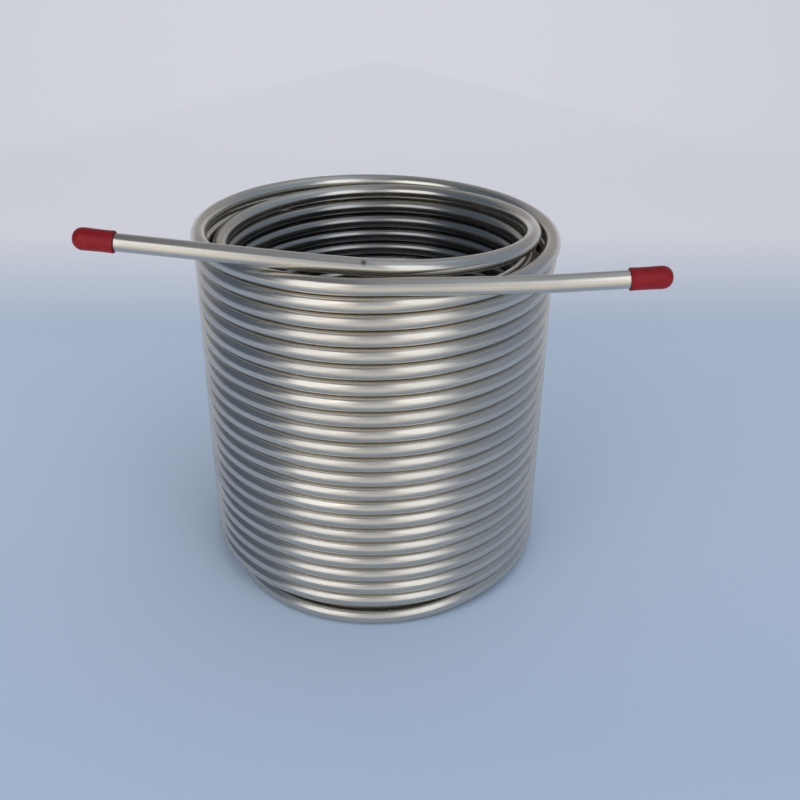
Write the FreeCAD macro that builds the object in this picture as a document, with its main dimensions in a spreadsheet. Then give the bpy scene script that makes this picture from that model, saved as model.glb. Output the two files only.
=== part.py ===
"""A free-standing cooling coil: one long stainless tube wound in two layers, with a soft cap on each end.

The tube comes in straight at the top front, winds down as the outer layer, crosses to a smaller
radius on the floor, winds back up as the inner layer and leaves straight at the top front, the
other way. Millimetres, +Z up, the coil's axis on Z, its lowest turn resting on Z = 0, front at -Y.
"""
import FreeCAD, Part
import Sketcher
import math
import os
from FreeCAD import Placement, Rotation, Vector

# Every driving size: name, value, what it is. Angles are in degrees, arc lengths in turns.
SIZES = [
    ("tube_od", 10.0, "outside diameter of the tube"),
    ("tube_wall", 1.0, "wall of the tube"),
    ("coil_od", 227.0, "outside diameter of the outer layer"),
    ("layer_gap", 2.8, "clear gap between the two layers"),
    ("outer_turns", 22, "turns of the outer layer, a whole number"),
    ("inner_turns", 22, "turns of the inner layer, a whole number"),
    ("outer_turn_gap", 0.1, "clear gap between the turns of the outer layer"),
    ("inner_turn_gap", 0.17, "clear gap between the turns of the inner layer"),
    ("foot_gap", 3.5, "extra gap that opens above the lowest turn at the front"),
    ("outer_spring", 3.8, "how far the outer layer's top turn has sprung open"),
    ("inner_spring", 4.5, "how far the inner layer's top turn has sprung open"),
    ("tail_clearance", 0.6, "least gap where the inner end passes over the outer layer"),
    ("inner_end_turn_back", 3.0, "degrees past the front where the inner end leaves the coil"),
    ("right_lead", 60.0, "length of the outer end before its slight upward bend"),
    ("right_bend", 2.7, "degrees of that bend"),
    ("right_reach", 46.0, "length after the bend, up to the cut end of the tube"),
    ("left_lead", 5.0, "length of the inner end before its slight upward bend"),
    ("left_bend", 1.5, "degrees of that bend"),
    ("left_reach", 101.0, "length after the bend, up to the cut end of the tube"),
    ("bend_length", 50.0, "length of tube in each slight bend"),
    ("cap_wall", 1.25, "wall of a cap around the tube"),
    ("cap_grip", 20.0, "length of tube inside a cap"),
    ("cap_end_wall", 3.0, "thickness of a cap at the middle of its domed end"),
    ("cap_dome", 3.2, "height of a cap's domed end"),
]

# Where the winding changes, in turns. The foot is the front of the lowest turn.
FOOT_DROP = 0.09        # the tube drops to the floor in this stretch before the foot
CROSS_START = 0.03      # after the foot it starts to cross to the inner layer
CROSS_END = 0.29        # and here it has crossed
CLIMB_START = 0.70      # the inner layer leaves the floor
CLIMB_WIDTH = 0.50      # and climbs faster for this long, to clear the crossing below it
CLIMB_GAIN = 0.5        # height won by that, as a share of one turn's rise
LIFT_WIDTH = 0.45       # the inner end lifts over this last stretch
SPRUNG_TURNS = 2        # top turns of each layer that have sprung open, each less than the one above
SPRUNG_LEAN = 1.3       # above 1, a sprung turn is widest past its middle, on the right
SHORT_BLEND = 0.05      # a change of slope at the foot is spread over this
LONG_BLEND = 0.1        # a change of slope of the inner layer is spread over this
STEADY_SPANS = 4        # spans of centre line in a steady turn, each two tangent arcs
FINE_SPANS = 16         # and in a turn where the winding changes


def make_sheet(doc):
    """The spreadsheet that holds the driving sizes under their names."""
    sheet = doc.addObject("Spreadsheet::Sheet", "Sizes")
    for row, (name, value, meaning) in enumerate(SIZES, start=1):
        sheet.set(f"A{row}", name)
        sheet.set(f"B{row}", str(value))
        sheet.set(f"C{row}", meaning)
        sheet.setAlias(f"B{row}", name)
    doc.recompute()
    return sheet


def eased(turns, start, blend):
    """Turns gone by since start, eased in over blend turns so that the slope has no step."""
    past = turns - start
    if past <= 0:
        return 0.0
    if past < blend:
        return past * past / (2 * blend)
    return past - blend / 2


def stepped_rise(turns, pitch, width, gain, blend):
    """Height after some turns at a steady pitch whose first stretch is steeper, to win gain."""
    steep = (gain + pitch * (width + blend / 2)) / width
    return steep * eased(turns, 0, blend) - (steep - pitch) * eased(turns, width, blend)


def sprung_share(turns, turns_above):
    """How far a turn has sprung open, as a share: nothing at the front, and less in lower turns."""
    along_turn = math.pi * (turns % 1) ** SPRUNG_LEAN
    return (1 - math.cos(along_turn) ** 4) * max(0.0, 1 - turns_above / SPRUNG_TURNS)


class Winding:
    """The tube's centre line: its radius and height after a number of turns from the outer end."""

    def __init__(self, sheet):
        self.tube_od = float(sheet.tube_od)
        self.floor = self.tube_od / 2
        self.outer_radius = (float(sheet.coil_od) - self.tube_od) / 2
        self.inner_radius = self.outer_radius - self.tube_od - float(sheet.layer_gap)
        self.outer_pitch = self.tube_od + float(sheet.outer_turn_gap)
        self.inner_pitch = self.tube_od + float(sheet.inner_turn_gap)
        self.outer_spring = float(sheet.outer_spring)
        self.inner_spring = float(sheet.inner_spring)
        self.foot_gap = float(sheet.foot_gap)
        self.foot = int(sheet.outer_turns)
        self.turn_back = math.radians(float(sheet.inner_end_turn_back))
        self.top = self.foot + int(sheet.inner_turns)
        self.end = self.top + self.turn_back / (2 * math.pi)
        self.lift_slope = 0.0
        self.lift_slope = self.slope_that_clears(float(sheet.tail_clearance))

    def radius(self, turns):
        after_foot = turns - self.foot
        crossed = (after_foot - CROSS_START) / (CROSS_END - CROSS_START)
        crossed = min(max(crossed, 0.0), 1.0)
        share = (1 - math.cos(math.pi * crossed)) / 2
        if turns <= self.foot:
            sprung = self.outer_spring * sprung_share(turns, math.floor(turns))
        else:
            turns_above = max(0, math.floor(self.top - turns))
            sprung = self.inner_spring * sprung_share(turns, turns_above)
        return self.outer_radius + share * (self.inner_radius - self.outer_radius) + sprung

    def height(self, turns):
        if turns <= self.foot:
            above_foot = self.foot - turns
            return self.floor + stepped_rise(
                above_foot, self.outer_pitch, FOOT_DROP, self.foot_gap, SHORT_BLEND)
        after_foot = turns - self.foot
        gain = CLIMB_GAIN * self.inner_pitch
        climb = stepped_rise(
            after_foot - CLIMB_START, self.inner_pitch, CLIMB_WIDTH, gain, LONG_BLEND)
        lift = self.lift_slope * eased(turns, self.top - LIFT_WIDTH, 2 * LONG_BLEND)
        return self.floor + climb + lift

    def slope_that_clears(self, clearance):
        """Extra rise per turn that takes the inner end's straight tail over the outer layer."""
        along = math.sqrt(self.outer_radius ** 2 - self.inner_radius ** 2)
        turns_to_crossing = math.acos(self.inner_radius / self.outer_radius) / (2 * math.pi)
        needed = self.height(turns_to_crossing) + self.tube_od + clearance
        steady = self.height(self.end)
        run = along / (2 * math.pi * self.inner_radius)
        lifted_turns = LIFT_WIDTH - LONG_BLEND + (self.end - self.top)
        return (needed - steady - self.inner_pitch * run) / (lifted_turns + run)

    def point(self, turns):
        angle = -math.pi / 2 - 2 * math.pi * turns
        radius = self.radius(turns)
        return Vector(radius * math.cos(angle), radius * math.sin(angle), self.height(turns))

    def direction(self, turns):
        step = 1e-5
        return (self.point(turns + step) - self.point(turns - step)).normalize()

    def stations(self):
        """Turn counts where the spans of the centre line meet: close together where it changes."""
        stretches = [
            (SPRUNG_TURNS, FINE_SPANS),
            (self.foot - FOOT_DROP - SHORT_BLEND, STEADY_SPANS),
            (self.foot + CLIMB_START + CLIMB_WIDTH + LONG_BLEND, FINE_SPANS),
            (self.top - SPRUNG_TURNS, STEADY_SPANS),
            (self.end, FINE_SPANS),
        ]
        found = [0.0]
        for stretch_end, spans_per_turn in stretches:
            start = found[-1]
            count = math.ceil((stretch_end - start) * spans_per_turn - 1e-9)
            for i in range(1, count + 1):
                found.append(start + (stretch_end - start) * i / count)
        return found


def tangent_arc(start, direction, end):
    """The arc that leaves start along direction and reaches end."""
    chord = end - start
    half_turn = chord.getAngle(direction)
    apex = start + direction * (chord.Length / 2 / math.cos(half_turn))
    middle = (start + end) * 0.5
    on_arc = middle + (apex - middle) * (math.cos(half_turn) / (1 + math.cos(half_turn)))
    return Part.Arc(start, on_arc, end).toShape()


def two_arcs(start, start_direction, end, end_direction):
    """Two arcs, tangent to each other, that join two points along their given directions."""
    gap = end - start
    a = 2 * (start_direction.dot(end_direction) - 1)
    b = -2 * gap.dot(start_direction + end_direction)
    c = gap.dot(gap)
    reach = (-b - math.sqrt(b * b - 4 * a * c)) / (2 * a)
    first_apex = start + start_direction * reach
    second_apex = end - end_direction * reach
    joint = (first_apex + second_apex) * 0.5
    joint_direction = (second_apex - first_apex).normalize()
    return [tangent_arc(start, start_direction, joint), tangent_arc(joint, joint_direction, end)]


def straight_end(start, outward, lead, bend, bend_length, reach):
    """One end of the tube, from the coil outwards: straight, bent slightly upwards, straight."""
    bend_start = start + outward * lead
    upward = (Vector(0, 0, 1) - outward * outward.z).normalize()
    bend_radius = bend_length / bend
    bend_end = bend_start + outward * (bend_radius * math.sin(bend))
    bend_end += upward * (bend_radius * (1 - math.cos(bend)))
    bent = outward * math.cos(bend) + upward * math.sin(bend)
    cut_end = bend_end + bent * reach
    edges = [
        Part.LineSegment(start, bend_start).toShape(),
        tangent_arc(bend_start, outward, bend_end),
        Part.LineSegment(bend_end, cut_end).toShape(),
    ]
    return edges, (cut_end, bent)


def centre_line(winding, sheet):
    """The wire of the whole tube, and where each cut end lies and points: right, then left."""
    bend_length = float(sheet.bend_length)
    right_edges, right_end = straight_end(
        winding.point(0), winding.direction(0) * -1, float(sheet.right_lead),
        math.radians(float(sheet.right_bend)), bend_length, float(sheet.right_reach))
    left_edges, left_end = straight_end(
        winding.point(winding.end), winding.direction(winding.end), float(sheet.left_lead),
        math.radians(float(sheet.left_bend)), bend_length, float(sheet.left_reach))
    coil_edges = []
    stations = winding.stations()
    for here, there in zip(stations, stations[1:]):
        coil_edges += two_arcs(
            winding.point(here), winding.direction(here),
            winding.point(there), winding.direction(there))
    return Part.Wire(right_edges[::-1] + coil_edges + left_edges), right_end, left_end


def make_round_sweep(doc, name, path, radius, end):
    """A round bar along the path, its radius an expression on the sheet."""
    place, outward = end
    section = doc.addObject("Part::Circle", name + "_section")
    section.setExpression("Radius", radius)
    section.Placement = Placement(place, Rotation(Vector(0, 0, 1), outward))
    sweep = doc.addObject("Part::Sweep", name)
    sweep.Sections = [section]
    sweep.Spine = (path, [f"Edge{i + 1}" for i in range(len(path.Shape.Edges))])
    sweep.Solid = True
    return sweep


def make_tube(doc, wire, end):
    path = doc.addObject("Part::Feature", "centre_line")
    path.Shape = wire
    tube = doc.addObject("Part::Cut", "coil_tube")
    tube.Label = "coil_tube"
    tube.Base = make_round_sweep(doc, "tube_outside", path, "Sizes.tube_od / 2", end)
    tube.Tool = make_round_sweep(doc, "tube_bore", path, "Sizes.tube_od / 2 - Sizes.tube_wall", end)
    return tube


def origin_plane(body, role):
    return next(plane for plane in body.Origin.OriginFeatures if plane.Role == role)


def add_cap_profile(body, sheet):
    """Half the cap's section: X is the radius, Y runs from the open mouth to the domed end."""
    sketch = body.newObject("Sketcher::SketchObject", body.Name + "_profile")
    sketch.AttachmentSupport = (origin_plane(body, "XZ_Plane"), [""])
    sketch.MapMode = "FlatFace"
    bore = float(sheet.tube_od) / 2
    outside = bore + float(sheet.cap_wall)
    floor = float(sheet.cap_grip)
    tip = floor + float(sheet.cap_end_wall)
    shoulder = tip - float(sheet.cap_dome)
    corners = [(bore, 0), (outside, 0), (outside, shoulder), (0, tip), (0, floor), (bore, floor)]
    points = [Vector(x, y, 0) for x, y in corners]
    dome_centre = tip - (outside ** 2 + (tip - shoulder) ** 2) / (2 * (tip - shoulder))
    dome_radius = tip - dome_centre
    shoulder_angle = math.atan2(shoulder - dome_centre, outside)
    circle = Part.Circle(Vector(0, dome_centre, 0), Vector(0, 0, 1), dome_radius)
    sketch.addGeometry([
        Part.LineSegment(points[0], points[1]),
        Part.LineSegment(points[1], points[2]),
        Part.ArcOfCircle(circle, shoulder_angle, math.pi / 2),
        Part.LineSegment(points[3], points[4]),
        Part.LineSegment(points[4], points[5]),
        Part.LineSegment(points[5], points[0]),
    ], False)
    mouth, side, dome, axis, seat, bore_wall = range(6)
    begin, finish, centre = 1, 2, 3
    rules = [
        ("Coincident", mouth, finish, side, begin), ("Coincident", side, finish, dome, begin),
        ("Coincident", dome, finish, axis, begin), ("Coincident", axis, finish, seat, begin),
        ("Coincident", seat, finish, bore_wall, begin), ("Coincident", bore_wall, finish, mouth, begin),
        ("Horizontal", mouth), ("Vertical", side), ("Vertical", axis), ("Horizontal", seat),
        ("Vertical", bore_wall), ("PointOnObject", dome, centre, -2),
        ("PointOnObject", axis, begin, -2), ("PointOnObject", mouth, begin, -1),
    ]
    for rule in rules:
        sketch.addConstraint(Sketcher.Constraint(*rule))
    sizes = [
        ("bore_radius", ("DistanceX", -1, 1, mouth, begin, bore), "Sizes.tube_od / 2"),
        ("wall", ("DistanceX", mouth, begin, mouth, finish, outside - bore), "Sizes.cap_wall"),
        ("grip", ("DistanceY", bore_wall, finish, bore_wall, begin, floor), "Sizes.cap_grip"),
        ("end_wall", ("DistanceY", axis, finish, axis, begin, tip - floor), "Sizes.cap_end_wall"),
        ("dome_height", ("DistanceY", side, finish, axis, begin, tip - shoulder), "Sizes.cap_dome"),
    ]
    for name, values, expression in sizes:
        index = sketch.addConstraint(Sketcher.Constraint(*values))
        sketch.renameConstraint(index, name)
        sketch.setExpression("Constraints." + name, expression)
    return sketch


def make_cap(doc, sheet, name, end):
    """A moulded cap, pushed on until the tube's cut end meets its floor."""
    cut_end, outward = end
    body = doc.addObject("PartDesign::Body", name)
    body.Label = name
    sketch = add_cap_profile(body, sheet)
    turned = body.newObject("PartDesign::Revolution", name + "_turned")
    turned.Profile = sketch
    turned.ReferenceAxis = (sketch, ["V_Axis"])
    turned.Angle = 360.0
    body.Tip = turned
    mouth = cut_end - outward * float(sheet.cap_grip)
    body.Placement = Placement(mouth, Rotation(Vector(0, 0, 1), outward))
    return body


def check(doc, parts):
    for thing in doc.Objects:
        if {"Invalid", "Error"} & set(thing.State):
            raise RuntimeError(f"{thing.Label} did not compute: {thing.State}")
    for part in parts:
        shape = part.Shape
        if shape.isNull() or not shape.isValid() or len(shape.Solids) != 1:
            raise RuntimeError(f"{part.Label} is not one valid solid")


def main():
    doc = FreeCAD.newDocument("cooling_coil")
    sheet = make_sheet(doc)
    winding = Winding(sheet)
    wire, right_end, left_end = centre_line(winding, sheet)
    tube = make_tube(doc, wire, right_end)
    caps = [
        make_cap(doc, sheet, "end_cap_right", right_end),
        make_cap(doc, sheet, "end_cap_left", left_end),
    ]
    parts = [tube] + caps
    doc.recompute()
    check(doc, parts)

    outer, inner = float(sheet.tube_od) / 2, float(sheet.tube_od) / 2 - float(sheet.tube_wall)
    expected = math.pi * (outer ** 2 - inner ** 2) * wire.Length
    print(f"tube length {wire.Length:.0f} mm, volume {tube.Shape.Volume:.0f}, expected {expected:.0f}")
    os.makedirs("parts", exist_ok=True)
    for part in parts:
        part.Shape.exportStep(f"parts/{part.Label}.step")
        box = part.Shape.BoundBox
        print(f"{part.Label}: {box.XLength:.1f} x {box.YLength:.1f} x {box.ZLength:.1f} mm")


main()
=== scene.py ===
# %% [markdown]
# # A cooling coil wound from one stainless tube
#
# The real object is a single drawn tube, nearly thirty metres long. A winding machine bends it into an
# outer layer on the way down and an inner layer on the way up, and both ends leave straight at the top.
# A soft red cap keeps dirt out of each end. Here the measured model is the fixed frame, and this file
# gives it a smooth skin, its finish, a floor, light and a camera.

# %% Load the measured model as the frame
import math

import bmesh
import bpy
from mathutils import Matrix, Vector


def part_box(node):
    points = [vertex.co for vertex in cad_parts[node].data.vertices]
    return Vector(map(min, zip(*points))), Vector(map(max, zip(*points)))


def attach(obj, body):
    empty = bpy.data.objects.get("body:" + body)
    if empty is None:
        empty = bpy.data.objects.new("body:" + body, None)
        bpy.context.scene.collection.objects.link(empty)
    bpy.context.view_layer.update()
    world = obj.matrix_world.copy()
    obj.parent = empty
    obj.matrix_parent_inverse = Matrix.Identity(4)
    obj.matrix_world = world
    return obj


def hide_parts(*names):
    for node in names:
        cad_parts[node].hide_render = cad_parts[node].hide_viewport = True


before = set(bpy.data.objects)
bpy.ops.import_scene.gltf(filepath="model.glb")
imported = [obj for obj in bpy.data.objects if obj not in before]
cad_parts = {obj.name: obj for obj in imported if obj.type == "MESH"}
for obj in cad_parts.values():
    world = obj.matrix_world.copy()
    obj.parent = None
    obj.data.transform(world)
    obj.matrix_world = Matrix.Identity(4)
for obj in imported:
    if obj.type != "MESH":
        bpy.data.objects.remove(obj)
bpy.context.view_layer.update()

# %% [markdown]
# ## The winding, from a few sizes
#
# Everything about the coil follows from the tube, the two layers and how many turns each has. The outer
# radius is read from the frame. Lengths are in metres, and a place along the winding is counted in turns
# from the front, where the outer end meets the coil.

# %% Sizes of the winding
MM = 0.001
TUBE = 10 * MM
WALL = 1 * MM
LAYER_GAP = 2.8 * MM
OUTER_PITCH = TUBE + 0.1 * MM
INNER_PITCH = TUBE + 0.17 * MM
OUTER_TURNS = 22
INNER_TURNS = 22
FOOT_GAP = 3.5 * MM
OUTER_SPRING = 3.8 * MM
INNER_SPRING = 4.5 * MM
TAIL_CLEARANCE = 0.6 * MM
TURN_BACK = math.radians(3.0)

FOOT_DROP, SHORT_BLEND = 0.09, 0.05
CROSS_START, CROSS_END = 0.03, 0.29
CLIMB_START, CLIMB_WIDTH, CLIMB_GAIN = 0.70, 0.50, 0.5
LIFT_WIDTH, LONG_BLEND = 0.45, 0.1
SPRUNG_TURNS, SPRUNG_LEAN = 2, 1.3

coil_low, coil_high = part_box("coil_tube")
OUTER_RADIUS = -coil_low.y - TUBE / 2
INNER_RADIUS = OUTER_RADIUS - TUBE - LAYER_GAP
TOP = OUTER_TURNS + INNER_TURNS
END = TOP + TURN_BACK / (2 * math.pi)
print(f"outer radius {OUTER_RADIUS / MM:.1f} mm, inner radius {INNER_RADIUS / MM:.1f} mm")

# %% [markdown]
# The height along the winding is a sum of slopes that ease in, because a tube can't kink. The outer
# layer falls by one pitch a turn and drops a little more just before the foot. The tube then crosses to
# the inner radius flat on the floor, and climbs back a little faster at first, to pass over the crossing.
# Its last half turn lifts so that the straight end clears the outer layer. The two top turns of each
# layer, free of the winding machine's grip, have sprung open by a few millimetres, most at the right.

# %% Radius and height at any number of turns
def eased(turns, start, blend):
    """Turns gone by since start, eased in over blend turns so that the slope has no step."""
    past = turns - start
    if past <= 0:
        return 0.0
    if past < blend:
        return past * past / (2 * blend)
    return past - blend / 2


def stepped_rise(turns, pitch, width, gain, blend):
    """Height after some turns at a steady pitch whose first stretch is steeper, to win gain."""
    steep = (gain + pitch * (width + blend / 2)) / width
    return steep * eased(turns, 0, blend) - (steep - pitch) * eased(turns, width, blend)


def sprung_share(turns, turns_above):
    """How far a turn has sprung open, as a share: nothing at the front, and less in lower turns."""
    along_turn = math.pi * (turns % 1) ** SPRUNG_LEAN
    return (1 - math.cos(along_turn) ** 4) * max(0.0, 1 - turns_above / SPRUNG_TURNS)


def radius_at(turns):
    crossed = (turns - OUTER_TURNS - CROSS_START) / (CROSS_END - CROSS_START)
    share = (1 - math.cos(math.pi * min(max(crossed, 0.0), 1.0))) / 2
    if turns <= OUTER_TURNS:
        sprung = OUTER_SPRING * sprung_share(turns, math.floor(turns))
    else:
        sprung = INNER_SPRING * sprung_share(turns, max(0, math.floor(TOP - turns)))
    return OUTER_RADIUS + share * (INNER_RADIUS - OUTER_RADIUS) + sprung


def height_at(turns, lift_slope):
    if turns <= OUTER_TURNS:
        rise = stepped_rise(OUTER_TURNS - turns, OUTER_PITCH, FOOT_DROP, FOOT_GAP, SHORT_BLEND)
        return TUBE / 2 + rise
    climbed = turns - OUTER_TURNS - CLIMB_START
    climb = stepped_rise(climbed, INNER_PITCH, CLIMB_WIDTH, CLIMB_GAIN * INNER_PITCH, LONG_BLEND)
    return TUBE / 2 + climb + lift_slope * eased(turns, TOP - LIFT_WIDTH, 2 * LONG_BLEND)


def slope_that_clears():
    """Extra rise per turn that takes the inner end over the outer layer's top turn."""
    crossing_turns = math.acos(INNER_RADIUS / OUTER_RADIUS) / (2 * math.pi)
    needed = height_at(crossing_turns, 0) + TUBE + TAIL_CLEARANCE
    run = math.sqrt(OUTER_RADIUS ** 2 - INNER_RADIUS ** 2) / (2 * math.pi * INNER_RADIUS)
    lifted = LIFT_WIDTH - LONG_BLEND + (END - TOP)
    return (needed - height_at(END, 0) - INNER_PITCH * run) / (lifted + run)


LIFT_SLOPE = slope_that_clears()


def point_at(turns):
    angle = -math.pi / 2 - 2 * math.pi * turns
    radius = radius_at(turns)
    height = height_at(turns, LIFT_SLOPE)
    return Vector((radius * math.cos(angle), radius * math.sin(angle), height))


def direction_at(turns):
    step = 1e-5
    return (point_at(turns + step) - point_at(turns - step)).normalized()


# %% [markdown]
# ## Walking a ring along the tube
#
# The skin could be a curve with a round bevel, but the steady turns are a perfect screw, which Spin makes
# in one call: a ring of points turned about the coil's axis while it sinks. One turn is made that way and
# its copies are stacked. Only the ends, the crossing and the lift need a ring moved step by step.
#
# Each corner of a ring keeps its place on the straight tube before bending, in the attribute
# straight_tube, so that the drawing lines of the metal can follow the tube round every bend.

# %% How finely the skin is divided, and a ring's place
SIDES = 20
STEPS = 96
WELD = 1e-6


def ring_place(position, direction):
    """The matrix that takes a flat ring round Z to the tube's cross-section there."""
    side = direction.cross(Vector((0, 0, 1))).normalized()
    up = side.cross(direction)
    place = Matrix((side, up, direction)).transposed().to_4x4()
    return Matrix.Translation(position) @ place


def new_ring(skin, position, direction, along):
    """A ring of the tube's skin, with each point's place on the straight tube stored on it."""
    straight = skin.verts.layers.float_vector.new("straight_tube")
    ring = bmesh.ops.create_circle(skin, segments=SIDES, radius=TUBE / 2)["verts"]
    for corner in ring:
        corner[straight] = (corner.co.x, corner.co.y, along)
    bmesh.ops.transform(skin, matrix=ring_place(position, direction), verts=ring)
    return list(skin.edges)


def walk(places, along):
    """A length of skin through a list of (position, direction), made by extruding a ring."""
    skin = bmesh.new()
    rim = new_ring(skin, *places[0], along)
    straight = skin.verts.layers.float_vector["straight_tube"]
    for (position, direction), (last_position, last_direction) in zip(places[1:], places):
        along += (position - last_position).length
        made = bmesh.ops.extrude_edge_only(skin, edges=rim)["geom"]
        rim = [part for part in made if isinstance(part, bmesh.types.BMEdge)]
        ring = [part for part in made if isinstance(part, bmesh.types.BMVert)]
        move = ring_place(position, direction) @ ring_place(last_position, last_direction).inverted()
        bmesh.ops.transform(skin, matrix=move, verts=ring)
        for corner in ring:
            corner[straight].z = along
    return skin, along


def winding_places(first, last):
    """Positions and directions along the winding, one step apart, both ends included."""
    count = max(1, round((last - first) * STEPS))
    turns = [first + (last - first) * i / count for i in range(count + 1)]
    return [(point_at(t), direction_at(t)) for t in turns]


# %% [markdown]
# ## One steady turn, and its stack
#
# A full Spin leaves the ring where the next turn begins, one pitch lower or higher, so the copies meet
# ring to ring and are welded at the end.

# %% A stack of steady turns
def add_to(whole, skin):
    """Adds a length of skin to the whole tube."""
    mesh = bpy.data.meshes.new("length_of_skin")
    skin.to_mesh(mesh)
    skin.free()
    whole.from_mesh(mesh)
    bpy.data.meshes.remove(mesh)


def steady_turns(whole, first, count, along):
    """Adds count turns that keep their radius and pitch, starting first turns from the front."""
    turn = bmesh.new()
    new_ring(turn, point_at(first), direction_at(first), along)
    straight = turn.verts.layers.float_vector["straight_tube"]
    rise = point_at(first + 1).z - point_at(first).z
    length = math.hypot(2 * math.pi * radius_at(first), rise)
    bmesh.ops.spin(
        turn, geom=list(turn.verts) + list(turn.edges), cent=(0, 0, 0), axis=(0, 0, 1),
        dvec=(0, 0, rise / STEPS), angle=-2 * math.pi, steps=STEPS, use_merge=False,
        use_normal_flip=False, use_duplicate=False)
    for number, corner in enumerate(turn.verts):
        corner[straight].z += length * (number // SIDES) / STEPS
    for copy in range(count):
        add_to(whole, turn.copy())
        bmesh.ops.translate(turn, vec=(0, 0, rise), verts=list(turn.verts))
        for corner in turn.verts:
            corner[straight].z += length
    turn.free()
    return along + length * count


# %% [markdown]
# ## The two straight ends
#
# Each end is straight, takes a slight upward bend where it was set by hand, and runs straight to its cut.
# Extruding a ring along a list of places makes all three stretches alike. The lengths are those of the
# measured model.

# %% Where the ends run
BEND_LENGTH = 50 * MM
BEND_STEPS = 6
RUN_STEPS = 4
RIGHT_LEAD, RIGHT_BEND, RIGHT_REACH = 60 * MM, math.radians(2.7), 46 * MM
LEFT_LEAD, LEFT_BEND, LEFT_REACH = 5 * MM, math.radians(1.5), 101 * MM


def end_places(start, outward, lead, bend, reach):
    """Places along one end from the coil outwards: straight, slightly bent upwards, straight."""
    upward = (Vector((0, 0, 1)) - outward * outward.z).normalized()
    bend_radius = BEND_LENGTH / bend
    bend_start = start + outward * lead
    places = [(start + outward * lead * i / RUN_STEPS, outward) for i in range(RUN_STEPS)]
    for i in range(BEND_STEPS + 1):
        turned = bend * i / BEND_STEPS
        position = bend_start + outward * (bend_radius * math.sin(turned))
        position += upward * (bend_radius * (1 - math.cos(turned)))
        places.append((position, outward * math.cos(turned) + upward * math.sin(turned)))
    bend_end, direction = places[-1]
    places += [(bend_end + direction * reach * i / RUN_STEPS, direction)
               for i in range(1, RUN_STEPS + 1)]
    return places


right_places = end_places(point_at(0), -direction_at(0), RIGHT_LEAD, RIGHT_BEND, RIGHT_REACH)
left_places = end_places(point_at(END), direction_at(END), LEFT_LEAD, LEFT_BEND, LEFT_REACH)
inward_places = [(position, -direction) for position, direction in reversed(right_places)]
print("cut ends at", [[round(x, 3) for x in places[-1][0]] for places in (right_places, left_places)])

# %% [markdown]
# ## The whole tube
#
# The lengths of skin are added in order, from the cut end on the right to the one on the left. Both cuts
# are then closed as a real tube is: a ring of wall, and the bore going in behind it.

# %% How a cut end is closed
BORE_DEPTH = 25 * MM


def open_end(skin, position, outward):
    """Closes a cut end with the wall's ring and the start of the bore inside it."""
    rim = [e for e in skin.edges if e.is_boundary and (e.verts[0].co - position).length < TUBE]
    face = bmesh.ops.contextual_create(skin, geom=rim)["faces"]
    bmesh.ops.inset_region(skin, faces=face, thickness=WALL, use_even_offset=True)
    made = bmesh.ops.extrude_discrete_faces(skin, faces=face)["faces"]
    corners = {corner for part in made for corner in part.verts}
    bmesh.ops.translate(skin, vec=-outward * BORE_DEPTH, verts=list(corners))


# %% Build and weld the tube
def tube_skin():
    """The skin of the whole tube as one bmesh."""
    whole = bmesh.new()
    whole.verts.layers.float_vector.new("straight_tube")
    last_outer = OUTER_TURNS - 1
    first_inner = OUTER_TURNS + math.ceil(CLIMB_START + CLIMB_WIDTH + LONG_BLEND)
    last_inner = TOP - SPRUNG_TURNS
    skin, along = walk(inward_places, 0.0)
    add_to(whole, skin)
    skin, along = walk(winding_places(0, SPRUNG_TURNS), along)
    add_to(whole, skin)
    along = steady_turns(whole, SPRUNG_TURNS, last_outer - SPRUNG_TURNS, along)
    skin, along = walk(winding_places(last_outer, first_inner), along)
    add_to(whole, skin)
    along = steady_turns(whole, first_inner, last_inner - first_inner, along)
    skin, along = walk(winding_places(last_inner, END), along)
    add_to(whole, skin)
    skin, along = walk(left_places, along)
    add_to(whole, skin)
    bmesh.ops.remove_doubles(whole, verts=list(whole.verts), dist=WELD)
    for position, outward in (right_places[-1], left_places[-1]):
        open_end(whole, position, outward)
    bmesh.ops.recalc_face_normals(whole, faces=list(whole.faces))
    print(f"tube: {along:.2f} m, {len(whole.verts)} corners, {len(whole.faces)} faces")
    return whole


# %% From skin to piece
def piece_from(skin, name, node):
    """A smooth-shaded object made from a bmesh, riding on the frame in place of a CAD node."""
    mesh = bpy.data.meshes.new(name)
    skin.to_mesh(mesh)
    skin.free()
    mesh.shade_smooth()
    piece = bpy.data.objects.new(name, mesh)
    bpy.context.scene.collection.objects.link(piece)
    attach(piece, "root")
    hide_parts(node)
    return piece


tube = piece_from(tube_skin(), "wound_tube", "coil_tube")

# %% [markdown]
# ## The red caps
#
# A cap is dipped soft plastic, so nothing on it is sharp: the mouth ends in a rolled lip, the wall is
# drawn in slightly behind it and the closed end is a full dome. A cylinder with its edges bevelled would
# have a flat end. So half the section is drawn as a few points, and Spin turns them once round.

# %% Cap sizes and outline
CAP_SIDES = 64
CAP_GRIP = 20 * MM
CAP_LENGTH = 23 * MM
CAP_WALL = 1.25 * MM
DOME_HEIGHT, DOME_FULLNESS, DOME_STEPS = 6 * MM, 0.82, 10
LIP_STEPS = 6
WAISTS = ((0.72, 0.10 * MM), (0.45, 0.18 * MM), (0.20, 0.16 * MM))  # share of the wall's height, depth


def swings(count, whole):
    """Angles from nothing to the whole swing, both included."""
    return [whole * i / count for i in range(count + 1)]


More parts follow.
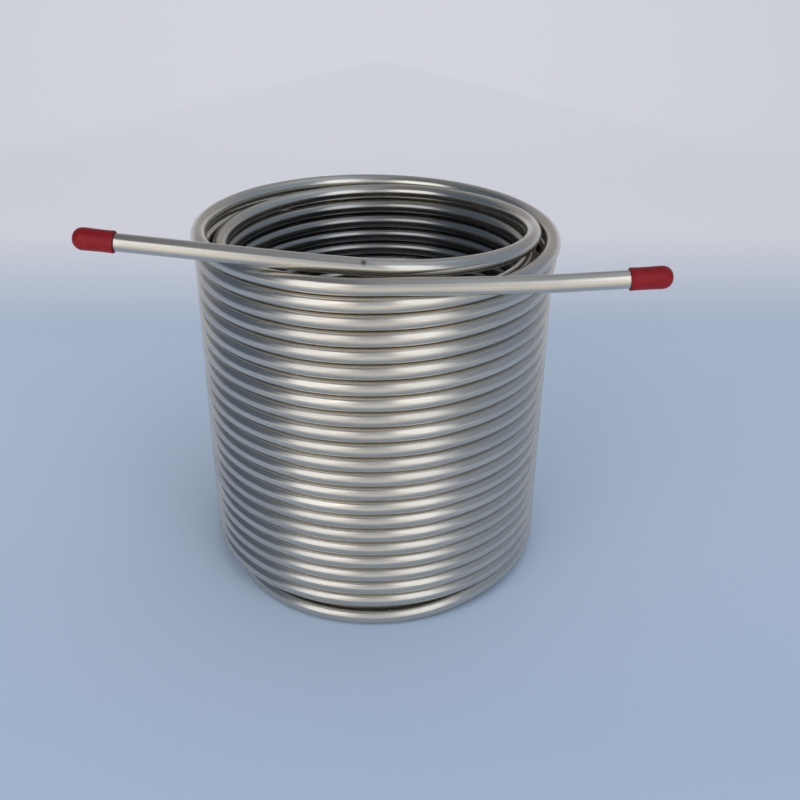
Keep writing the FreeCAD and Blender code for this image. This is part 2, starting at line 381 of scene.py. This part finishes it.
def cap_outline():
    """Half the section from the middle of the dome, round the lip and back up the bore."""
    bore, radius = TUBE / 2, TUBE / 2 + CAP_WALL
    shoulder, lip = CAP_LENGTH - DOME_HEIGHT, CAP_WALL / 2
    outline = [
        (radius * math.sin(swing) ** DOME_FULLNESS, shoulder + DOME_HEIGHT * math.cos(swing))
        for swing in swings(DOME_STEPS, math.pi / 2)]
    outline += [(radius - drawn_in, shoulder * share) for share, drawn_in in WAISTS]
    outline += [
        (radius - lip + lip * math.cos(swing), lip - lip * math.sin(swing))
        for swing in swings(LIP_STEPS, math.pi)]
    return outline + [(bore, CAP_GRIP), (0, CAP_GRIP)]


# %% Spin the outline and push the caps on
def cap_skin(cut_end, outward):
    skin = bmesh.new()
    points = [skin.verts.new((across, 0, along)) for across, along in cap_outline()]
    edges = [skin.edges.new(pair) for pair in zip(points, points[1:])]
    bmesh.ops.spin(
        skin, geom=points + edges, cent=(0, 0, 0), axis=(0, 0, 1), dvec=(0, 0, 0),
        angle=2 * math.pi, steps=CAP_SIDES, use_merge=True, use_normal_flip=False,
        use_duplicate=False)
    bmesh.ops.remove_doubles(skin, verts=list(skin.verts), dist=WELD)
    bmesh.ops.recalc_face_normals(skin, faces=list(skin.faces))
    print(f"cap: {len(skin.faces)} faces")
    mouth = cut_end - outward * CAP_GRIP
    bmesh.ops.transform(skin, matrix=ring_place(mouth, outward), verts=list(skin.verts))
    return skin


caps = [
    piece_from(cap_skin(*right_places[-1]), "soft_cap_right", "end_cap_right"),
    piece_from(cap_skin(*left_places[-1]), "soft_cap_left", "end_cap_left")]

# %% [markdown]
# ## Small helpers for the finishes
#
# Every finish here is built from the same few nodes: a noise, a number taken from one range to another,
# and two colours mixed by a number. Each gets a short function, so that a finish reads as a recipe.

# %% Noise, ranges and mixes
COLOUR_A, COLOUR_B, COLOUR_RESULT = 6, 7, 2  # a Mix node has sockets of the same name for other types


def node_tree(name):
    material = bpy.data.materials.new(name)
    material.use_nodes = True
    tree = material.node_tree
    return material, tree, tree.nodes["Principled BSDF"]


def object_place(tree):
    """The place on the piece, in metres, because every finished piece sits at the origin."""
    return tree.nodes.new("ShaderNodeTexCoord").outputs["Object"]


def noise(tree, coordinates, stretch, detail=3.0, roughness=0.5):
    """A noise value whose grains along each axis are about one over stretch long."""
    mapping = tree.nodes.new("ShaderNodeMapping")
    mapping.inputs["Scale"].default_value = stretch
    tree.links.new(coordinates, mapping.inputs["Vector"])
    made = tree.nodes.new("ShaderNodeTexNoise")
    made.inputs["Scale"].default_value = 1
    made.inputs["Detail"].default_value = detail
    made.inputs["Roughness"].default_value = roughness
    tree.links.new(mapping.outputs["Vector"], made.inputs["Vector"])
    return made.outputs["Fac"]


def ranged(tree, value, low, high, from_low=0.3, from_high=0.7):
    """A value taken from one range, by default the usual one of a noise, to another."""
    made = tree.nodes.new("ShaderNodeMapRange")
    made.inputs["From Min"].default_value = from_low
    made.inputs["From Max"].default_value = from_high
    made.inputs["To Min"].default_value = low
    made.inputs["To Max"].default_value = high
    tree.links.new(value, made.inputs["Value"])
    return made.outputs["Result"]


def mixed(tree, share, first, second):
    """Two colours mixed by a value; each is a colour or the output of another node."""
    made = tree.nodes.new("ShaderNodeMix")
    made.data_type = "RGBA"
    for place, colour in ((COLOUR_A, first), (COLOUR_B, second)):
        if isinstance(colour, bpy.types.NodeSocket):
            tree.links.new(colour, made.inputs[place])
        else:
            made.inputs[place].default_value = colour
    tree.links.new(share, made.inputs["Factor"])
    return made.outputs[COLOUR_RESULT]


def bumped(tree, shader, height, strength, depth):
    """Makes the surface look raised by depth where height is full."""
    bump = tree.nodes.new("ShaderNodeBump")
    bump.inputs["Strength"].default_value = strength
    bump.inputs["Distance"].default_value = depth
    tree.links.new(height, bump.inputs["Height"])
    tree.links.new(bump.outputs["Normal"], shader.inputs["Normal"])


# %% [markdown]
# ## Drawn stainless steel
#
# The tube was pulled through a die, which leaves fine lines along its length, and then annealed bright.
# Handling adds soft smudges. An image wrapped round the tube would repeat itself over so many turns, but
# noise doesn't. Noise that is stretched along straight_tube gives the lines, and broad noise changes the
# colour and roughness from place to place. Inside the winding, below the top turns, the colour is painted
# darker: painted shade, where little light reaches the inner faces. One small dark scuff is where a tool
# held the top inner turn while its end was bent out.

# %% Where the painted shade inside the winding lies
# Painted shade: the inner faces below the top turns are darkened between these radii and heights.
PAINTED_SHADE_EDGE_IN, PAINTED_SHADE_EDGE_OUT = INNER_RADIUS - 1 * MM, INNER_RADIUS + 2 * MM
PAINTED_SHADE_FULL, PAINTED_SHADE_NONE = coil_high.z - 4.5 * TUBE, coil_high.z - 3 * TUBE


def painted_shade_share(tree, place):
    """Full on what faces the axis below the top turns, where shade is painted into the colour, and nothing
    outside.
    """
    split = tree.nodes.new("ShaderNodeSeparateXYZ")
    tree.links.new(place, split.inputs["Vector"])
    across = tree.nodes.new("ShaderNodeVectorMath")
    across.operation = "MULTIPLY"
    across.inputs[1].default_value = (1, 1, 0)
    tree.links.new(place, across.inputs[0])
    radius = tree.nodes.new("ShaderNodeVectorMath")
    radius.operation = "LENGTH"
    tree.links.new(across.outputs["Vector"], radius.inputs[0])
    both = tree.nodes.new("ShaderNodeMath")
    both.operation = "MULTIPLY"
    facing = ranged(tree, radius.outputs["Value"], 1, 0, PAINTED_SHADE_EDGE_IN, PAINTED_SHADE_EDGE_OUT)
    below = ranged(tree, split.outputs["Z"], 1, 0, PAINTED_SHADE_FULL, PAINTED_SHADE_NONE)
    tree.links.new(facing, both.inputs[0])
    tree.links.new(below, both.inputs[1])
    return both.outputs["Value"]


# %% Where the scuff is
SCUFF_PLACE = (-5.3 * MM, -98.8 * MM, 241.0 * MM)
SCUFF_CORE, SCUFF_EDGE = 0.3 * MM, 2.3 * MM


def scuff_share(tree, place):
    """Nearly full at the scuff's middle, fading to nothing at its edge."""
    distance = tree.nodes.new("ShaderNodeVectorMath")
    distance.operation = "DISTANCE"
    distance.inputs[1].default_value = SCUFF_PLACE
    tree.links.new(place, distance.inputs[0])
    return ranged(tree, distance.outputs["Value"], 0.9, 0, SCUFF_CORE, SCUFF_EDGE)


# %% The steel itself
WARM_STEEL, COOL_STEEL = (0.68, 0.635, 0.555, 1), (0.57, 0.535, 0.475, 1)
# The first colour below is painted shade for the inside of the winding; the second is a real scuff.
PAINTED_SHADE_STEEL, SCUFFED_STEEL = (0.33, 0.32, 0.30, 1), (0.07, 0.06, 0.055, 1)
STEEL_ROUGHNESS = (0.18, 0.28)
DIE_LINES, SMUDGES = (900, 900, 6), (60, 60, 14)
LINE_STRENGTH, LINE_DEPTH = 0.05, 0.12 * MM


def steel_material():
    material, tree, shader = node_tree("drawn_stainless")
    bent = tree.nodes.new("ShaderNodeAttribute")
    bent.attribute_name = "straight_tube"
    along_tube = bent.outputs["Vector"]
    lines = noise(tree, along_tube, DIE_LINES, detail=4.0, roughness=0.6)
    smudges = noise(tree, along_tube, SMUDGES)
    place = object_place(tree)
    clean = mixed(tree, ranged(tree, smudges, 0, 1), WARM_STEEL, COOL_STEEL)
    # Painted shade: the inside of the winding below the top turns is darker in colour, as little light
    # reaches it.
    shaded_inside = mixed(tree, painted_shade_share(tree, place), clean, PAINTED_SHADE_STEEL)
    scuffed = mixed(tree, scuff_share(tree, place), shaded_inside, SCUFFED_STEEL)
    tree.links.new(scuffed, shader.inputs["Base Color"])
    tree.links.new(ranged(tree, smudges, *STEEL_ROUGHNESS), shader.inputs["Roughness"])
    shader.inputs["Metallic"].default_value = 1.0
    bumped(tree, shader, lines, LINE_STRENGTH, LINE_DEPTH)
    print(f"{material.name}: {len(tree.nodes)} nodes")
    return material


tube.data.materials.append(steel_material())

# %% [markdown]
# ## Soft red vinyl
#
# Dipped vinyl is coloured all through, has a dull sheen and is never quite even, because it sets in the
# air. A smooth red would look like hard plastic, so one fine noise varies the red, the sheen and the
# surface together.

# %% The vinyl of the caps
BRIGHT_RED, DEEP_RED = (0.34, 0.006, 0.010, 1), (0.26, 0.004, 0.008, 1)
VINYL_GRAINS = (220, 220, 220)
VINYL_ROUGHNESS, VINYL_SHEEN = (0.38, 0.5), 0.3
GRAIN_STRENGTH, GRAIN_DEPTH = 0.15, 0.3 * MM


def vinyl_material():
    material, tree, shader = node_tree("soft_red_vinyl")
    grains = noise(tree, object_place(tree), VINYL_GRAINS)
    red = mixed(tree, ranged(tree, grains, 0, 1), BRIGHT_RED, DEEP_RED)
    tree.links.new(red, shader.inputs["Base Color"])
    tree.links.new(ranged(tree, grains, *VINYL_ROUGHNESS), shader.inputs["Roughness"])
    shader.inputs["Specular IOR Level"].default_value = VINYL_SHEEN
    bumped(tree, shader, grains, GRAIN_STRENGTH, GRAIN_DEPTH)
    print(f"{material.name}: {len(tree.nodes)} nodes")
    return material


cap_finish = vinyl_material()
for cap in caps:
    cap.data.materials.append(cap_finish)

# %% [markdown]
# ## Floor and backdrop
#
# A studio's paper sheet runs from the floor up behind the coil without an edge. A plane and a wall would
# show a line where they meet, so a plain bent strip is made by extruding an edge twice, and its corner is
# bevelled round.

# %% The sheet's shape
SHEET_NEAR, SHEET_FAR, SHEET_HALF, SHEET_TOP = -4.0, 1.5, 4.0, 0.55
SWEEP, SWEEP_STEPS = 0.5, 24


def backdrop():
    sheet = bmesh.new()
    row = [sheet.verts.new((side * SHEET_HALF, SHEET_NEAR, 0)) for side in (-1, 1)]
    edge = [sheet.edges.new(row)]
    for step in ((0, SHEET_FAR - SHEET_NEAR, 0), (0, 0, SHEET_TOP)):
        made = bmesh.ops.extrude_edge_only(sheet, edges=edge)["geom"]
        ring = [part for part in made if isinstance(part, bmesh.types.BMVert)]
        edge = [part for part in made if isinstance(part, bmesh.types.BMEdge)]
        bmesh.ops.translate(sheet, vec=step, verts=ring)
    corner = [e for e in sheet.edges if all(v.co.y == SHEET_FAR and v.co.z == 0 for v in e.verts)]
    bmesh.ops.bevel(
        sheet, geom=corner, offset=SWEEP, offset_type="OFFSET", segments=SWEEP_STEPS, profile=0.5,
        affect="EDGES", material=-1)
    bmesh.ops.recalc_face_normals(sheet, faces=list(sheet.faces))
    mesh = bpy.data.meshes.new("backdrop")
    sheet.to_mesh(mesh)
    sheet.free()
    mesh.shade_smooth()
    made = bpy.data.objects.new("backdrop", mesh)
    bpy.context.scene.collection.objects.link(made)
    return made


floor = backdrop()
print(f"backdrop: {len(floor.data.polygons)} faces")

# %% [markdown]
# The sheet is blue-grey where the coil stands. It turns to a paler grey behind, and there it glows a little
# though it is no lamp: painted light that brightens it. In front, where the camera doesn't look, it is as
# bright as a white card: the lower half of each turn mirrors that part. Each of these is a colour mixed in
# by the distance along Y.

# %% The sheet's colours
NEAR_GREY, MIDDLE_GREY = (0.50, 0.60, 0.755, 1), (0.63, 0.72, 0.835, 1)
PALE_GREY, CARD_WHITE = (0.87, 0.84, 0.86, 1), (0.90, 0.86, 0.80, 1)
MIDDLE_FROM, MIDDLE_TO = -0.20, 0.30
PALE_FROM, PALE_TO = 0.36, 0.66
CARD_FROM, CARD_TO = -0.40, -0.25
# Painted light: the far part of the sheet glows with this colour and strength, though it is no lamp.
PAINTED_GLOW_COLOUR, PAINTED_GLOW_STRENGTH = (1.0, 0.95, 0.92, 1), 0.12
SHEET_ROUGHNESS, SHEET_SHEEN = 0.85, 0.2


def sheet_material():
    material, tree, shader = node_tree("studio_sheet")
    shader.inputs["Roughness"].default_value = SHEET_ROUGHNESS
    shader.inputs["Specular IOR Level"].default_value = SHEET_SHEEN
    split = tree.nodes.new("ShaderNodeSeparateXYZ")
    tree.links.new(object_place(tree), split.inputs["Vector"])
    depth = split.outputs["Y"]
    towards_middle = ranged(tree, depth, 0, 1, MIDDLE_FROM, MIDDLE_TO)
    behind = ranged(tree, depth, 0, 1, PALE_FROM, PALE_TO)
    in_front = ranged(tree, depth, 1, 0, CARD_FROM, CARD_TO)
    colour = mixed(tree, towards_middle, NEAR_GREY, MIDDLE_GREY)
    colour = mixed(tree, behind, colour, PALE_GREY)
    colour = mixed(tree, in_front, colour, CARD_WHITE)
    tree.links.new(colour, shader.inputs["Base Color"])
    # Painted light: the sheet behind the coil emits a little light of its own.
    shader.inputs["Emission Color"].default_value = PAINTED_GLOW_COLOUR
    tree.links.new(ranged(tree, behind, 0, PAINTED_GLOW_STRENGTH, 0, 1), shader.inputs["Emission Strength"])
    print(f"{material.name}: {len(tree.nodes)} nodes")
    return material


floor.data.materials.append(sheet_material())

# %% [markdown]
# ## Light
#
# Bright metal has no colour of its own to show: it shows what stands round it. Two tall soft panels at
# the front, left and right, give every turn its broad pale bands. Weaker ones beside and between them
# soften their edges and keep the middle from going dark. Each panel is given by the directions it fills
# as seen from the coil, and by how bright its face is, so its power follows from its size.

# %% One soft panel
PANEL_DISTANCE = 1.3

coil_middle = Vector((0, 0, (coil_low.z + coil_high.z) / 2))


def soft_panel(name, across, upward, brightness, colour):
    """A panel that fills the directions across, in degrees right of the front, and upward."""
    side, rise = (math.radians(sum(pair) / 2) for pair in (across, upward))
    half_width, half_height = (math.radians(pair[1] - pair[0]) / 2 for pair in (across, upward))
    outwards = Vector((
        math.sin(side) * math.cos(rise), -math.cos(side) * math.cos(rise), math.sin(rise)))
    panel = bpy.data.lights.new(name, "AREA")
    panel.shape = "RECTANGLE"
    panel.size = 2 * PANEL_DISTANCE * math.tan(half_width)
    panel.size_y = 2 * PANEL_DISTANCE * math.tan(half_height)
    panel.energy = brightness * math.pi * panel.size * panel.size_y
    panel.color = colour
    lamp = bpy.data.objects.new(name, panel)
    turn = (-outwards).to_track_quat("-Z", "Y").to_matrix().to_4x4()
    lamp.matrix_world = Matrix.Translation(coil_middle + outwards * PANEL_DISTANCE) @ turn
    lamp.visible_camera = False
    bpy.context.scene.collection.objects.link(lamp)
    print(f"{name}: {panel.size:.2f} x {panel.size_y:.2f} m, {panel.energy:.1f} W")


# %% All the panels, from left to right
WHITE, CREAM = (0.99, 0.99, 1.0), (1.0, 0.96, 0.90)
PANELS = {
    "left_outer_edge": ((-60, -51), (-5, 46), 0.32, WHITE),
    "left": ((-51, -25), (-5, 52), 1.22, WHITE),
    "left_inner_edge": ((-25, -14), (-5, 44), 0.90, CREAM),
    "middle_low": ((-14, 12), (-5, 20), 0.50, CREAM),
    "middle_high": ((-14, 12), (20, 48), 0.30, CREAM),
    "right_inner_edge": ((12, 19), (-5, 44), 0.80, CREAM),
    "right": ((19, 38), (-5, 58), 1.02, WHITE),
    "right_outer_edge": ((38, 48), (-5, 50), 0.55, WHITE),
}
for name, panel_facts in PANELS.items():
    soft_panel(name, *panel_facts)

# %% [markdown]
# The sheet needs more light than the panels give it, but an overhead lamp would draw a white line along
# the top of every turn. Light linking lets one wide lamp light the sheet alone. The coil still casts its
# soft shadow from it.

# %% A lamp for the sheet alone
SHEET_LAMP_PLACE = (0, 0.3, 1.8)
SHEET_LAMP_SIZE, SHEET_LAMP_POWER = 3.0, 13


def sheet_lamp():
    only_sheet = bpy.data.collections.new("lit_by_sheet_lamp")
    only_sheet.objects.link(floor)
    wide = bpy.data.lights.new("sheet_lamp", "AREA")
    wide.size = SHEET_LAMP_SIZE
    wide.energy = SHEET_LAMP_POWER
    lamp = bpy.data.objects.new("sheet_lamp", wide)
    lamp.location = SHEET_LAMP_PLACE
    lamp.visible_camera = False
    lamp.light_linking.receiver_collection = only_sheet
    bpy.context.scene.collection.objects.link(lamp)
    print(f"sheet lamp: {wide.size:.1f} m, {wide.energy:.0f} W")


sheet_lamp()

# %% [markdown]
# Round about, the room is dim and cool, darker on the left, so that the sides of the coil fall off, and
# lighter overhead on the right. It is a world colour mixed by direction, because the metal mirrors it
# without any sharp shape. Where the camera looks past the sheet, it sees a plain pale grey.

# %% The room round about
ROOM_LEFT, ROOM_RIGHT = (0.105, 0.145, 0.205, 1), (0.27, 0.33, 0.42, 1)
ROOM_BACK = (0.38, 0.38, 0.39, 1)
ABOVE_LEFT, ABOVE_RIGHT = (0.19, 0.20, 0.22, 1), (0.50, 0.57, 0.67, 1)
PAST_THE_SHEET = (0.61, 0.60, 0.63, 1)
FROM_LEFT_TO_RIGHT = (-0.6, 0.6)
ABOVE_FROM_LEFT_TO_RIGHT = (-0.15, 0.2)
FROM_SIDE_TO_BACK = (0.45, 0.85)
FROM_LEVEL_TO_ABOVE = (0.7, 0.95)


def room():
    world = bpy.data.worlds.new("room")
    world.use_nodes = True
    tree = world.node_tree
    surround = tree.nodes["Background"]
    way = tree.nodes.new("ShaderNodeTexCoord")
    split = tree.nodes.new("ShaderNodeSeparateXYZ")
    tree.links.new(way.outputs["Generated"], split.inputs["Vector"])
    rightward, backward, upward = (split.outputs[axis] for axis in "XYZ")
    sides = mixed(tree, ranged(tree, rightward, 0, 1, *FROM_LEFT_TO_RIGHT), ROOM_LEFT, ROOM_RIGHT)
    level = mixed(tree, ranged(tree, backward, 0, 1, *FROM_SIDE_TO_BACK), sides, ROOM_BACK)
    above_share = ranged(tree, rightward, 0, 1, *ABOVE_FROM_LEFT_TO_RIGHT)
    above = mixed(tree, above_share, ABOVE_LEFT, ABOVE_RIGHT)
    whole = mixed(tree, ranged(tree, upward, 0, 1, *FROM_LEVEL_TO_ABOVE), level, above)
    tree.links.new(whole, surround.inputs["Color"])
    seen = tree.nodes.new("ShaderNodeBackground")
    seen.inputs["Color"].default_value = PAST_THE_SHEET
    ray = tree.nodes.new("ShaderNodeLightPath")
    choice = tree.nodes.new("ShaderNodeMixShader")
    tree.links.new(ray.outputs["Is Camera Ray"], choice.inputs["Fac"])
    tree.links.new(surround.outputs["Background"], choice.inputs[1])
    tree.links.new(seen.outputs["Background"], choice.inputs[2])
    tree.links.new(choice.outputs["Shader"], tree.nodes["World Output"].inputs["Surface"])
    print(f"{world.name}: {len(tree.nodes)} nodes")
    return world


bpy.context.scene.world = room()

# %% [markdown]
# ## Camera
#
# It stands in front of the coil and looks down at it by about twenty-eight degrees, close enough that the
# lower turns look narrower than the top ones.

# %% Camera
CAMERA_PLACE = Vector((0.0038, -0.5954, 0.4254))
CAMERA_DOWN = math.radians(28.38)
SENSOR_WIDTH, FOCAL_LENGTH, SIDEWAYS_SHIFT = 36, 43.98, 0.0243
camera_data = bpy.data.cameras.new("camera")
camera_data.sensor_width = SENSOR_WIDTH
camera_data.lens = FOCAL_LENGTH
camera_data.shift_x = SIDEWAYS_SHIFT
camera = bpy.data.objects.new("camera", camera_data)
camera.location = CAMERA_PLACE
camera.rotation_euler = (math.pi / 2 - CAMERA_DOWN, 0, 0)
bpy.context.scene.collection.objects.link(camera)
bpy.context.scene.camera = camera
bpy.context.scene.view_settings.view_transform = "Standard"
print("camera at", [round(x, 3) for x in CAMERA_PLACE], "looking down", round(math.degrees(CAMERA_DOWN), 2))
